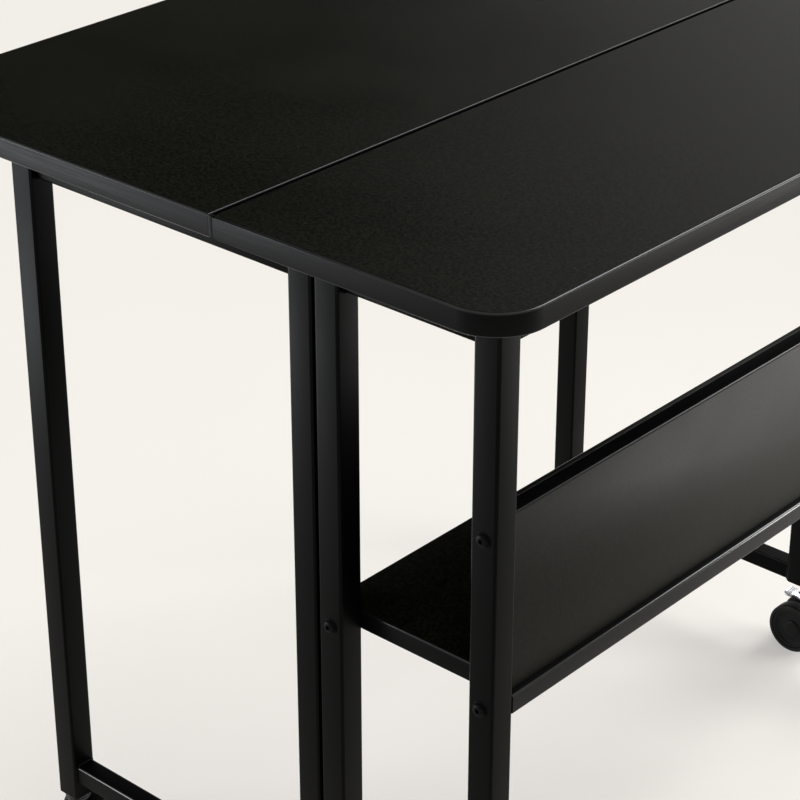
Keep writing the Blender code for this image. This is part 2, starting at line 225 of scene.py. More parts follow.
# Rounded edges, broken by noise: their lighter base colour is partly wear and partly a painted
# highlight.
edge = band.edge_wear_and_highlight() * band.spread(band.noise(here, 45.0, 3.0), 0.35, 0.65, 0.25, 1.0)
tone = band.blend(streak, grey(0.0006, 1.1), grey(0.0018, 1.12))
band.feed(band.shader, {
    "Base Color": band.blend(edge * 0.5, tone, grey(0.02, 1.08)),
    "Roughness": band.spread(streak, 0.3, 0.7, 0.4, 0.48),
    "Coat Weight": band.edge_wear_and_highlight() * 0.9,
    "Normal": band.bump(peel * 0.6 + streak * 0.4, 0.00004, 0.5),
})
print("edge band ready")

# %% [markdown]
# ## Powder coat on the tubes
# The frame is baked powder coat: black, faintly pebbled like orange peel, and smoother where it
# stretches round a tube corner. The meshes carry a value that is 1 in the middle of a rounded
# corner, so this follows the real edges. Upper edges are also polished by dusting: there a thin
# clear coat catches the window, and their base colour is lighter, partly as wear and partly as a
# painted highlight. The shelf rail is a little glossier than the legs.

# %% Powder coat
def coated(name, gloss):
    coat = paint(name, **{"Specular IOR Level": gloss, "Coat Roughness": 0.2})
    here = coat.place()
    pebble = coat.noise(here, 620.0)
    cloud = coat.noise(here, 11.0, 3.0)
    facing = coat.node("ShaderNodeNewGeometry", out=1)
    # Upward-facing rounded edges: a clear coat, and a lighter base colour that is partly wear and
    # partly painted highlight.
    upper_polish_and_highlight = coat.edge_wear_and_highlight() * coat.spread(coat.upward(facing), 0.15, 0.45)
    edge = upper_polish_and_highlight * coat.spread(coat.noise(here, 60.0, 4.0), 0.35, 0.7, 0.15, 1.0)
    tone = coat.blend(cloud, grey(0.0004, 1.08), grey(0.0012, 1.1))
    grain = coat.spread(cloud * 0.5 + pebble * 0.5, 0.3, 0.7, 0.4, 0.5)
    coat.feed(coat.shader, {
        "Base Color": coat.blend(edge * 0.5, tone, grey(0.014, 1.08)),
        "Roughness": grain * (1 - coat.edge_wear_and_highlight() * 0.7),
        "Coat Weight": upper_polish_and_highlight * 0.8,
        "Normal": coat.bump(pebble, 0.00005, 0.55),
    })
    return coat


coat = coated("powder_coat", 0.046)
rail_coat = coated("rail_coat", 0.2)
print("powder coat ready")

# %% [markdown]
# ## Bolts and plated metal
# Three finishes remain for the fittings: blackened bolts, zinc on the screws, pins and brake
# levers, and the dark plate of the seam hinges. The blackened finish also paints the shade in the
# cross of each screw head. In each one the tone and the roughness vary with a fine noise, because
# plating is never even. The blackened bolts are so dull that they need no metallic sheen.

# %% Bolts, zinc and dark plate
def plated(name, low, high, rough, scale, metallic, gloss=0.5):
    finish = paint(name, Metallic=metallic, **{"Specular IOR Level": gloss})
    here = finish.place()
    spangle = finish.noise(here, scale, 4.0, 0.6)
    rub = finish.noise(finish.stretch(here, (60.0, 900.0, 900.0)), 1.0)
    edge = finish.edge_wear_and_highlight() * 0.5
    tone = finish.blend(spangle, low, high)
    bright = tuple(min(1.0, c * 1.7) for c in high[:3]) + (1.0,)
    patchy = spangle * 0.6 + rub * 0.4
    finish.feed(finish.shader, {
        "Base Color": finish.blend(edge, tone, bright),
        "Roughness": finish.spread(patchy, 0.3, 0.7, rough - 0.07, rough + 0.07),
        "Normal": finish.bump(rub, 0.00003, 0.4),
    })
    return finish


bolt_black = plated("blackened_bolt", grey(0.0012, 1.05), grey(0.003, 1.05), 0.4, 400.0, 0.0, 0.05)
zinc = plated("zinc_plate", grey(0.36, 1.0), grey(0.56, 1.02), 0.33, 260.0, 1.0)
dark_plate = plated("dark_plate", grey(0.03, 1.05), grey(0.07, 1.06), 0.42, 300.0, 0.8)
print("metals ready")

# %% [markdown]
# ## Moulded plastic
# Wheels, plugs and pads are moulded plastic with a fine spark texture. The treads pick up pale
# dust from the floor, so they get their own mix with a broken, lighter film.

# %% Moulded plastic and tread
moulded = paint("moulded_plastic", **{"Specular IOR Level": 0.12})
here = moulded.place()
spark = moulded.noise(here, 2200.0)
cloud = moulded.noise(here, 40.0, 3.0)
moulded.feed(moulded.shader, {
    "Base Color": moulded.blend(cloud, grey(0.003), grey(0.0055, 1.02)),
    "Roughness": moulded.spread(cloud, 0.3, 0.7, 0.42, 0.54),
    "Normal": moulded.bump(spark, 0.00003, 0.5),
})
tread = paint("tread_rubber", **{"Specular IOR Level": 0.15})
here = tread.place()
dust = tread.spread(tread.noise(here, 170.0, 5.0, 0.65), 0.5, 0.72)
film = tread.noise(here, 1500.0)
tread.feed(tread.shader, {
    "Base Color": tread.blend(dust * 0.35, grey(0.005), (0.04, 0.037, 0.033, 1.0)),
    "Roughness": tread.spread(dust * 0.6 + film * 0.4, 0.2, 0.8, 0.5, 0.72),
    "Normal": tread.bump(film, 0.00004, 0.5),
})
print("plastics ready")

# %% [markdown]
# ## Rings, skins and pieces
# Nearly every piece here is a stack of outlines joined by faces: a tube is one outline pulled
# along its length, a wheel is a stack of circles. Each point also carries a value that marks
# rounded edges, for wear and for a painted highlight. A piece is then finished in one place: smooth
# shading with true edges kept, a material and the body that it rides on.

# %% Outlines and skins
TINY = 0.0002  # least radius of a corner


def extent(node):
    """Low corner, high corner, size and middle of a solid's box."""
    low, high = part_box(node)
    return low, high, high - low, (low + high) / 2


def middle(node):
    return extent(node)[3]


def rounded(width, depth, radii, segs=6):
    """Rounded rectangle about the origin; each third number is 1 in the middle of a corner."""
    points = []
    corners = ((1, 1, 0), (-1, 1, 90), (-1, -1, 180), (1, -1, 270))
    for (sx, sy, start), r in zip(corners, radii):
        for i in range(segs + 1):
            a = radians(start + 90 * i / segs)
            x = sx * (width / 2 - r) + r * cos(a)
            y = sy * (depth / 2 - r) + r * sin(a)
            points.append((x, y, sin(pi * i / segs)))
    return points


def arris(soft, turns):
    """Inset and rise of a rounded edge at each of these angles."""
    return [(soft * (1 - sin(radians(t))), soft * (1 - cos(radians(t)))) for t in turns]


def skin(rings, loop=False, bm=None):
    """Faces between rings of (x, y, z, rounded-edge value); flat ends unless the rings form a loop.
    """
    bm = bm or bmesh.new()
    edge_wear_and_highlight = bm.verts.layers.float.get("edge_wear_and_highlight") or bm.verts.layers.float.new("edge_wear_and_highlight")
    rows = []
    for ring in rings:
        row = []
        for x, y, z, share in ring:
            vert = bm.verts.new((x, y, z))
            vert[edge_wear_and_highlight] = share
            row.append(vert)
        rows.append(row)
    pairs = list(zip(rows, rows[1:])) + ([(rows[-1], rows[0])] if loop else [])
    for low, high in pairs:
        n = len(low)
        for i in range(n):
            bm.faces.new((low[i], low[(i + 1) % n], high[(i + 1) % n], high[i]))
    if not loop:
        bm.faces.new(rows[0])
        bm.faces.new(rows[-1])
    return bm


def lathe(profile, place, n=32, bm=None, loop=False):
    """Turn (height, radius) pairs about local Z, then set the result in place."""
    rings = []
    for h, r in profile:
        ring = []
        for i in range(n):
            a = 2 * pi * i / n
            ring.append((*(place @ Vector((r * cos(a), r * sin(a), h))), 0.0))
        rings.append(ring)
    return skin(rings, loop, bm)


def block(low, high):
    """Plain box between two corners."""
    ring = ((low[0], low[1]), (high[0], low[1]), (high[0], high[1]), (low[0], high[1]))
    return skin([[(x, y, z, 0.0) for x, y in ring] for z in (low[2], high[2])])


print("outlines and skins ready")

# %% Pieces and cuts
SHARP = radians(38.0)  # faces that meet at more than this keep a hard edge


def meshed(name, bm):
    mesh = bpy.data.meshes.new(name)
    bm.to_mesh(mesh)
    bm.free()
    return mesh


def smooth(mesh):
    mesh.shade_smooth()
    mesh.set_sharp_from_angle(angle=SHARP)


def show(name, data):
    """New object in the scene."""
    obj = bpy.data.objects.new(name, data)
    bpy.context.scene.collection.objects.link(obj)
    return obj


def piece(name, bm, finish, body, stands_for=()):
    """Finished piece on a body, in the place of the solids that it stands for."""
    bmesh.ops.recalc_face_normals(bm, faces=bm.faces)
    mesh = meshed(name, bm)
    smooth(mesh)
    mesh.materials.append(finish.block)
    obj = show(name, mesh)
    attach(obj, body)
    if stands_for:
        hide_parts(*stands_for)
    return obj


def carve(obj, tools):
    """Cut other meshes out of a piece and leave a plain mesh."""
    cutters = []
    for bm in tools:
        bmesh.ops.recalc_face_normals(bm, faces=bm.faces)
        cutter = show("cutter", meshed("cutter", bm))
        step = obj.modifiers.new("cut", "BOOLEAN")
        step.operation = "DIFFERENCE"
        step.object = cutter
        cutters.append(cutter)
    bpy.context.view_layer.update()
    graph = bpy.context.evaluated_depsgraph_get()
    mesh = bpy.data.meshes.new_from_object(obj.evaluated_get(graph))
    obj.modifiers.clear()
    obj.data = mesh
    smooth(mesh)
    for cutter in cutters:
        bpy.data.objects.remove(cutter, do_unlink=True)


print("pieces and cuts ready")

# %% [markdown]
# ## Boards
# A real board is a core with foil on both faces and a band round the edge. Building it as one
# bevelled box would lose the hairline between foil and band, so each board here is two pieces: the
# core, set in by the band's thickness, and the band, a closed loop with softly rounded arrises.
# The two halves of the top are also cut for the seam hinges, which are let in from below.

# %% Board with its edge band
BAND = 0.0022  # thickness of the band
SOFT = 0.0018  # rounding of the band's arrises
HAIR = 0.0003  # depth of the hairline between foil and band
CRISP = 0.45  # share of the band and its rounding that is left along the seam
TRIM = 0.0008  # taken off each half along the seam


def board(node, body, radii, segs=2, cutters=None, seam=0, face=foil, soft=SOFT):
    """Core and band of one board; seam says on which side it has the seam, if on any."""
    low, high, size, mid = extent(node)
    keep = CRISP if seam else 1.0
    trim = TRIM if seam else 0.0
    thin = min(range(3), key=lambda i: size[i])
    a, b = [i for i in range(3) if i != thin]
    z0, z1 = low[thin], high[thin]

    def ring(inset, z, share=0.0):
        points = []
        width = size[a] - trim - inset * (1 + keep)
        shift = seam * (inset * (1 - keep) - trim) / 2
        bends = [max(r - inset, TINY) for r in radii]
        for u, v, _ in rounded(width, size[b] - 2 * inset, bends, segs):
            p = [0.0, 0.0, 0.0]
            p[a] = mid[a] + u + shift
            p[b] = mid[b] + v
            p[thin] = z
            points.append((*p, share))
        return points

    core = [ring(BAND + HAIR, z0), ring(BAND, z0 + HAIR),
            ring(BAND, z1 - HAIR), ring(BAND + HAIR, z1)]
    bend = arris(soft, (0, 22.5, 45, 67.5, 90))
    edge_wear_and_highlight = (0.0, 0.6, 1.0, 0.6, 0.0)
    lower = [ring(inset, z0 + rise, w) for (inset, rise), w in zip(bend, edge_wear_and_highlight)]
    upper = [ring(inset, z1 - rise, w) for (inset, rise), w in zip(bend, edge_wear_and_highlight)]
    strip = [ring(BAND, z0 + HAIR), ring(BAND, z0), *lower,
             *upper[::-1], ring(BAND, z1), ring(BAND, z1 - HAIR)]
    sheet = piece(node + "_core", skin(core), face, body, (node,))
    edging = piece(node + "_edge_band", skin(strip, True), band, body)
    if cutters:  # a cutter is used up by each cut, so both pieces get a new set
        carve(sheet, cutters())
        carve(edging, cutters())
    print(node, [round(s * 1000, 1) for s in size], "mm")


# %% The four boards
CORNER = 0.045  # outer corners of the top
CORNER_SEGS = 14
SHELF_CORNERS = (0.002,) * 4
PANEL_SOFT = 0.0008
SLACK = 0.0003  # room round the hinge plates
PLATE_RISE = 0.002  # from the pin's axis to the top of a plate
PLATE_CUT = 0.004  # from the pin's axis down past the underside
KNUCKLE_R = 0.0036
TONGUE = 0.004  # thickness of a tongue
SLOT_SKIN = 0.0001  # what is left of the band outside a tongue's slot
SLOT_ROOM = 0.0006
SLOT_REACH = 0.0036
SLOT_START = 0.002  # how far a slot starts outside the board
SLOT_ROOF = 0.0003


def hinge_recess(side):
    """Cutters for the plates and knuckles under the seam, slightly larger than the solids."""
    tools = []
    for word, _ in ENDS:
        low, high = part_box("seam_plate_" + side + "_" + word)
        pin_low, pin_high, _, axis = extent("seam_pin_" + word)
        x0, x1 = (axis.x, high.x + SLACK) if side == "fixed" else (low.x - SLACK, axis.x)
        y0, y1 = pin_low.y - SLACK, pin_high.y + SLACK
        plate_top = axis.z + PLATE_RISE + SLACK
        tools.append(block((x0, y0, axis.z - PLATE_CUT), (x1, y1, plate_top)))
        lay = Matrix.Translation((axis.x, y0, axis.z)) @ Matrix.Rotation(-pi / 2, 4, "X")
        tools.append(lathe([(0.0, KNUCKLE_R), (y1 - y0, KNUCKLE_R)], lay, 24))
    return tools


def tongue_slots():
    """Cutters in the fixed board that let the leaf's tongues in when the leaf is lifted."""
    low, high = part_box("fixed_top")
    tools = []
    for _, s in ENDS:
        y = low.y if s < 0 else high.y
        y0, y1 = sorted((y - s * SLOT_SKIN, y - s * (TONGUE + SLOT_ROOM)))
        tools.append(block((low.x - SLOT_START, y0, low.z - SLOT_START),
                           (low.x + SLOT_REACH, y1, high.z - SLOT_ROOF)))
    return tools


board("fixed_top", "frame", (CORNER, TINY, TINY, CORNER), CORNER_SEGS,
      lambda: hinge_recess("fixed") + tongue_slots(), seam=-1)
board("drop_leaf", "leaf", (TINY, CORNER, CORNER, TINY), CORNER_SEGS,
      lambda: hinge_recess("leaf"), seam=1)
board("shelf_board", "frame", SHELF_CORNERS, face=shelf_foil)
board("shelf_panel", "frame", SHELF_CORNERS, face=panel_foil, soft=PANEL_SOFT)

# %% [markdown]
# ## Tongues at the ends of the seam
# Seen from the end, the long edge runs on across the seam: a tongue on the leaf closes the gap,
# and a slot in the fixed board takes it in when the leaf is lifted. Moving the boards closer
# would also close it, but then they would bind before the hinge could turn.

# %% Seam tongues
ROOT = 0.002  # part of a tongue that is inside the leaf
GAP = 0.0001  # between a tongue and the fixed board
SETBACK = 0.00015  # of a tongue's face from the board's end
leaf_low, leaf_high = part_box("drop_leaf")
fixed_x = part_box("fixed_top")[0].x
wide = fixed_x - leaf_high.x + TRIM - GAP + ROOT
mid_x = leaf_high.x - ROOT + wide / 2
plan = rounded(wide, TONGUE, (TINY,) * 4, 2)
levels = (leaf_low.z + SOFT * 0.5, leaf_high.z - SOFT * 0.45)
for word, s in ENDS:
    mid_y = (leaf_low.y if s < 0 else leaf_high.y) - s * (SETBACK + TONGUE / 2)
    rings = [[(mid_x + u, mid_y + v, z, 0.0) for u, v, _ in plan] for z in levels]
    piece("seam_tongue_" + word, skin(rings), band, "leaf")
print("tongues", len(ENDS))

# %% [markdown]
# ## Tubes
# Legs and rails are rolled square tube with a small corner radius. The solids have three facets at
# each corner; at arm's length that shows as a hard line, so each tube is drawn again with a rounder
# corner and eased ends. Its box comes from the solid, so it lands where the solid is.

# %% Legs and rails
TUBE_R = 0.0026
EASE = 0.0006


def bar(node, body, finish=coat):
    low, high, size, mid = extent(node)
    run = max(range(3), key=lambda i: size[i])
    a, b = [i for i in range(3) if i != run]
    steps = ((EASE, 0.0, 0.0), (EASE * 0.3, EASE * 0.3, 1.0), (0.0, EASE, 0.0))
    ends = [(inset, low[run] + t, w) for inset, t, w in steps]
    ends += [(inset, high[run] - t, w) for inset, t, w in steps[::-1]]
    rings = []
    for inset, t, share in ends:
        ring = []
        plan = rounded(size[a] - 2 * inset, size[b] - 2 * inset, (TUBE_R - inset,) * 4)
        for u, v, corner in plan:
            p = [0.0, 0.0, 0.0]
            p[a] = mid[a] + u
            p[b] = mid[b] + v
            p[run] = t
            ring.append((*p, max(corner, share)))
        rings.append(ring)
    piece(node + "_tube", skin(rings), finish, body, (node,))


tubes = []
for word, _ in ENDS:
    for name in ("leg_outer_", "leg_inner_", "end_rail_top_", "end_rail_foot_"):
        tubes.append((name + word, "frame", coat))
    for name in ("gate_pivot_leg_", "gate_outer_leg_", "gate_rail_top_", "gate_rail_foot_"):
        tubes.append((name + word, "gate_" + word, coat))
tubes += [("long_rail_outer", "frame", coat), ("long_rail_inner", "frame", coat),
          ("shelf_rail", "frame", rail_coat)]
for tube in tubes:
    bar(*tube)
print("tubes", len(tubes))

# %% [markdown]
# ## Bolts through the legs
# Three bolts at each end hold the shelf, the rail and the panel. They are low button heads with a
# six-sided socket. A dome alone would look like a rivet, so the socket is sunk as real faces: the
# rings change from round to six-sided at its rim.

# %% Button bolts
BOLT_R = 0.0058
BOLT_H = 0.0036
SOCKET_R = 0.0021
BOLT_SEGS = 36
SUNK = 0.0002  # how far a head sits in the leg's face
# Flange and dome, as shares of the bolt's radius and height.
DOME = ((1.18, 0.0), (1.2, 0.06), (1.2, 0.2), (1.15, 0.26), (0.99, 0.24), (1.0, 0.36),
        (0.96, 0.55), (0.86, 0.74), (0.7, 0.9), (0.55, 0.97), (0.46, 1.0))
SOCKET = (1.0, 0.94, 0.4)  # rim, chamfer and floor of the socket, as shares of the height


def toward(origin, way):
    """Matrix that sets local Z along a direction from a point."""
    turn = Vector(way).to_track_quat("Z", "Y").to_matrix().to_4x4()
    return Matrix.Translation(origin) @ turn


def button(place, bm):
    """Button head on local Z = 0, with a six-sided socket in its crown."""
    rows = []
    for share, h in DOME:
        rows.append([(BOLT_R * share, BOLT_H * h, 0.5 if h > 0.1 else 0.0)] * BOLT_SEGS)
    for h in SOCKET:
        row = []
        for i in range(BOLT_SEGS):
            turn = (360.0 * i / BOLT_SEGS) % 60.0 - 30.0
            r = SOCKET_R * cos(pi / 6) / cos(radians(turn))
            row.append((r, BOLT_H * h, 0.6 if h > 0.9 else 0.0))
        rows.append(row)
    rings = []
    for row in rows:
        ring = []
        for i, (r, h, share) in enumerate(row):
            a = 2 * pi * i / BOLT_SEGS
            ring.append((*(place @ Vector((r * cos(a), r * sin(a), h))), share))
        rings.append(ring)
    skin(rings, bm=bm)


shelf_bolt_z = middle("shelf_board").z + 0.001
rail_bolt_z = middle("shelf_rail").z + 0.003
panel_bolt_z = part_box("shelf_panel")[1].z - 0.0155
for word, s in ENDS:
    bm = bmesh.new()
    inner_x = middle("leg_inner_" + word).x
    outer_x = middle("leg_outer_" + word).x
    face_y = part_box("leg_outer_" + word)[0 if s < 0 else 1].y
    spots = ((inner_x, shelf_bolt_z), (outer_x - 0.0005, rail_bolt_z), (outer_x, panel_bolt_z))
    for x, z in spots:
        button(toward((x, face_y - s * SUNK, z), (0, s, 0)), bm)
    piece("leg_bolts_" + word, bm, bolt_black, "frame")
print("bolts", len(ENDS) * len(spots))

# %% [markdown]
# ## Welds
# The rails are welded to the legs. A weld is a small rippled bead that runs round the end of the
# tube. It is swept as a ring of short steps whose radius rises and falls, half sunk in both tubes.
# Rails that touch a board have no bead on top.

# %% Weld beads
WELD_R = 0.0013
WELD_STEP = 0.0012
WELD_SIDES = 8
RIPPLE = 0.16  # how much the bead swells, as a share of its radius
RIPPLE_STEPS = 3.0
RIPPLE_START = 0.4
TAPER = 0.45  # share of the radius at both ends
TOP_CLEAR = 0.003  # left without a bead below the top of a rail that touches a board


def walk(points, step):
    """Points at even steps along a line of points."""
    out = [points[0]]
    left = step
    for p, q in zip(points, points[1:]):
        start = p
        while (q - start).length > left:
            start = start + (q - start).normalized() * left
            out.append(start)
            left = step
        left -= (q - start).length
    return out


def bead(path, bm):
    """Rippled round bead along evenly spaced points, smaller at both ends."""
    rings = []
    last = len(path) - 1
    for i, p in enumerate(path):
        along = (path[min(i + 1, last)] - path[max(i - 1, 0)]).normalized()
        side = along.orthogonal().normalized()
        lift = along.cross(side)
        swell = WELD_R * (1.0 + RIPPLE * sin(2 * pi * i / RIPPLE_STEPS + RIPPLE_START))
        if i in (0, last):
            swell *= TAPER
        ring = []
        for k in range(WELD_SIDES):
            a = 2 * pi * k / WELD_SIDES
            ring.append((*(p + side * (swell * cos(a)) + lift * (swell * sin(a))), 0.0))
        rings.append(ring)
    skin(rings, bm=bm)


def weld_ends(node, bm, clear_top):
    """A bead round both ends of a rail, left open along the top where a board lies."""
    low, high, size, mid = extent(node)
    run = max(range(3), key=lambda i: size[i])
    a = 1 - run
    for end in (low[run], high[run]):
        line = []
        for u, v, _ in rounded(size[a], size[2], (TUBE_R,) * 4, 3):
            if clear_top and v > size[2] / 2 - TOP_CLEAR:
                continue
            p = Vector((0.0, 0.0, mid.z + v))
            p[a] = mid[a] + u
            p[run] = end
            line.append(p)
        if not clear_top:
            line.append(line[0])
        bead(walk(line, WELD_STEP), bm)


welded = [(name, "frame") for name in (
    "end_rail_top_near", "end_rail_top_far", "long_rail_outer", "long_rail_inner",
    "end_rail_foot_near", "end_rail_foot_far")]
for word, _ in ENDS:
    welded += [(name + word, "gate_" + word) for name in ("gate_rail_top_", "gate_rail_foot_")]
for name, body in welded:
    bm = bmesh.new()
    weld_ends(name, bm, "foot" not in name)
    piece(name + "_welds", bm, coat, body)
print("weld beads", 2 * len(welded))

# %% [markdown]
# ## Screws from below
# Pan-head screws go up through the flat rails into the boards, and three countersunk screws hold
# each seam plate. They only show from underneath, but the desk is seen folded as well.

# %% Underside screws
PAN_R = 0.0042
PAN_H = 0.0022
PAN_CROWN = ((0.0, 0.98), (0.25, 1.0), (0.6, 0.9), (0.88, 0.66), (1.0, 0.3))
PAN_BED = 0.0001  # how far a head is let into the rail
PAN_CROSS = (0.0019, 0.0021, 0.0004)  # drop to the cross, its reach and its depth
RAIL_SHARES = (0.08, 0.36, 0.64, 0.92)  # places of the screws along a rail
FLAT_R = 0.0034
FLAT_CONE = ((0.0, 1.0), (0.0004, 0.97), (0.00055, 0.7))
FLAT_BED = 0.0002
FLAT_CROSS = (0.0004, 0.0018, 0.0003)
PLATE_SPOTS = ((0.0105, -0.021), (0.0205, 0.0), (0.0105, 0.021))  # from the pin's middle
HEAD_SEGS = 24


def below(spot, drop=0.0):
    """Matrix that faces down, at a point or a little below it."""
    return toward(spot + Vector((0, 0, -drop)), (0, 0, -1))


# The cross in a screw head is not cut: thin bars in the blackened finish paint its shade.
def painted_cross_shade(spot, cross, bm):
    """Painted shade of a screw's cross recess: two thin dark bars on the crown."""
    drop, reach, depth = cross
    half = reach * 0.2
    ring = ((-reach, -half), (reach, -half), (reach, half), (-reach, half))
    for turn in (0.0, pi / 2):
        spin = below(spot, drop) @ Matrix.Rotation(turn, 4, "Z")
        skin([[(*(spin @ Vector((x, y, h))), 0.0) for x, y in ring] for h in (0.0, depth)], bm=bm)


screws = 0
heads = bmesh.new()
slot_shades = bmesh.new()
for name in ("long_rail_outer", "long_rail_inner"):
    low, high, _, mid = extent(name)
    for share in RAIL_SHARES:
        spot = Vector((mid.x, low.y + (high.y - low.y) * share, low.z + PAN_BED))
        crown = [(PAN_H * h, PAN_R * r) for h, r in PAN_CROWN]
        lathe(crown, below(spot), HEAD_SEGS, heads)
        painted_cross_shade(spot, PAN_CROSS, slot_shades)
        screws += 1
piece("rail_screws", heads, zinc, "frame")
piece("rail_screw_slot_shades", slot_shades, bolt_black, "frame")
for side, body, way in (("fixed", "frame", 1), ("leaf", "leaf", -1)):
    heads = bmesh.new()
    slot_shades = bmesh.new()
    for word, _ in ENDS:
        pin = middle("seam_pin_" + word)
        for dx, dy in PLATE_SPOTS:
            spot = Vector((pin.x + way * dx, pin.y + dy, pin.z + FLAT_BED))
            cone = [(h, FLAT_R * r) for h, r in FLAT_CONE]
            lathe(cone, below(spot), HEAD_SEGS, heads)
            painted_cross_shade(spot, FLAT_CROSS, slot_shades)
            screws += 1
    piece("seam_screws_" + side, heads, zinc, body)
    piece("seam_screw_slot_shades_" + side, slot_shades, bolt_black, body)
print("screws", screws)

# %% [markdown]
# ## Plugs and pads
# A moulded plug closes the open foot of each gate's pivot leg, and the pad on each gate carries
# the leaf. Both are shallow cushion shapes, built from rounded outlines that shrink to the rim.

# %% Plugs under the pivot legs and pads under the leaf
PLUG_IN = 0.0008  # how far a plug is set in from the tube's faces
PLUG_DROP = 0.0016
PLUG_RISE = 0.002


def cushion(low, high, radius, soft):
    """Block with rounded corners and softly turned rims."""
    size = high - low
    mid = (low + high) / 2
    lower, upper = [], []
    for inset, rise in arris(soft, (0, 30, 60, 90)):
        bends = (max(radius - inset, TINY),) * 4
        plan = rounded(size.x - 2 * inset, size.y - 2 * inset, bends, 5)
        lower.append([(mid.x + u, mid.y + v, low.z + rise, 0.0) for u, v, _ in plan])
        upper.append([(mid.x + u, mid.y + v, high.z - rise, 0.0) for u, v, _ in plan])
    return skin(lower + upper[::-1])


for word, _ in ENDS:
    low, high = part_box("gate_pivot_leg_" + word)
    foot = cushion(Vector((low.x + PLUG_IN, low.y + PLUG_IN, low.z - PLUG_DROP)),
                   Vector((high.x - PLUG_IN, high.y - PLUG_IN, low.z + PLUG_RISE)),
                   radius=0.0024, soft=0.0012)
    piece("gate_pivot_leg_" + word + "_plug", foot, moulded, "gate_" + word)
    pad = "gate_pad_" + word
    piece(pad + "_moulding", cushion(*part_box(pad), radius=0.0028, soft=0.0011), moulded,
          "gate_" + word, (pad,))
print("plugs", len(ENDS), "pads", len(ENDS))

# %% [markdown]
# ## Gate hinges and seam hinges
# The hinge plates, barrels and pins already have their true shape in the solids, so they stay and
# only get their finish, with a fine bevel so that their edges catch the light.

# %% Hinges
FINE = 0.0003  # bevel on plates and pins
BLUNT = 0.0004  # bevel on coated brackets and barrels


def dress(node, finish, bevel=0.0):
    obj = nodes[node]
    obj.data.materials.clear()
    obj.data.materials.append(finish.block)
    if bevel:
        soft = obj.modifiers.new("soft_edges", "BEVEL")
        soft.width = bevel
        soft.segments = 2
        soft.limit_method = "ANGLE"
        soft.angle_limit = radians(40)
        soft.harden_normals = False


for word, _ in ENDS:
    dress("seam_plate_fixed_" + word, dark_plate, FINE)
    dress("seam_plate_leaf_" + word, dark_plate, FINE)
    dress("seam_pin_" + word, zinc)
    for level in ("upper_", "lower_"):
        dress("gate_bracket_" + level + word, coat, BLUNT)
        dress("gate_barrel_" + level + word, coat, BLUNT)
        dress("gate_pin_" + level + word, zinc, FINE)
print("hinges dressed")

# %% [markdown]
# ## Casters
# Each caster is a twin wheel on an axle, a middle web that rises to a turning collar, and on four
# of them a brake lever. They are made once about the stem and then set under each leg. The wheel is
# a turned profile: tyre with a soft crown, a rim step, a dished hub and a cap. The profiles are
# written in millimetres, as heights along the axis and radii.

# %% Wheels
AXLE_Z = 0.028
TRAIL = 0.024  # from the stem to the axle
TYRE = ((7.5, 23.6), (7.5, 26.2), (7.9, 27.3), (8.9, 27.9), (10.5, 28.0), (18.5, 28.0),
        (20.1, 27.9), (21.1, 27.3), (21.5, 26.2), (21.5, 24.4), (21.2, 23.7), (20.6, 23.6))
HUB = ((7.5, 4.2), (7.5, 23.5), (20.4, 23.5), (20.7, 23.0), (20.7, 20.6), (20.3, 20.0),
       (19.4, 19.4), (18.9, 18.4), (18.7, 11.0), (19.0, 10.2), (20.2, 9.6), (20.9, 8.8),
       (21.2, 7.4), (21.4, 4.5), (21.45, 1.2))
CASTERS = {}
for word, s in ENDS:
    for leg, post, turn in (("outer", "leg_outer_", pi), ("inner", "leg_inner_", pi),
                            ("gate", "gate_outer_leg_", -s * pi / 2)):
        stem = middle(post + word)
        place = Matrix.Translation((stem.x, stem.y, 0.0)) @ Matrix.Rotation(turn, 4, "Z")
        CASTERS[leg + "_" + word] = place


def from_mm(profile):
    return [(h / 1000, r / 1000) for h, r in profile]


def wheels(tag, caster):
    tyres = bmesh.new()
    hubs = bmesh.new()
    axle = caster @ Matrix.Translation((TRAIL, 0.0, AXLE_Z))
    for way in (-1, 1):
        side = axle @ Matrix.Rotation(-way * pi / 2, 4, "X")
        lathe(from_mm(TYRE), side, 64, tyres, True)
        lathe(from_mm(HUB), side, 48, hubs)
    piece("caster_tyres_" + tag, tyres, tread, "wheels_" + tag,
          ("caster_wheels_" + tag,))
    piece("caster_hubs_" + tag, hubs, moulded, "wheels_" + tag)


for tag, caster in CASTERS.items():
    wheels(tag, caster)
print("wheel pairs", len(CASTERS))

# %% Webs and collars
WEB = 0.012  # thickness of the web
BOSS = 0.009  # radius of the web round the axle
NECK = 0.0115
NECK_TOP = 0.0563
NECK_LOW = 0.0397
RIM = 0.001  # rounding of the web's edges
LEVER_X = 0.007
LEVER_Z = 0.0512
LEVER_ROOM = 0.0038
COLLAR = ((55.2, 9.0), (55.25, 11.2), (55.7, 11.8), (56.0, 12.0), (58.0, 12.0), (58.3, 11.8),
          (58.45, 11.2), (58.9, 11.2), (59.05, 11.8), (59.4, 12.0), (61.0, 12.0), (61.5, 11.8),
          (61.7, 11.2), (61.72, 5.0))


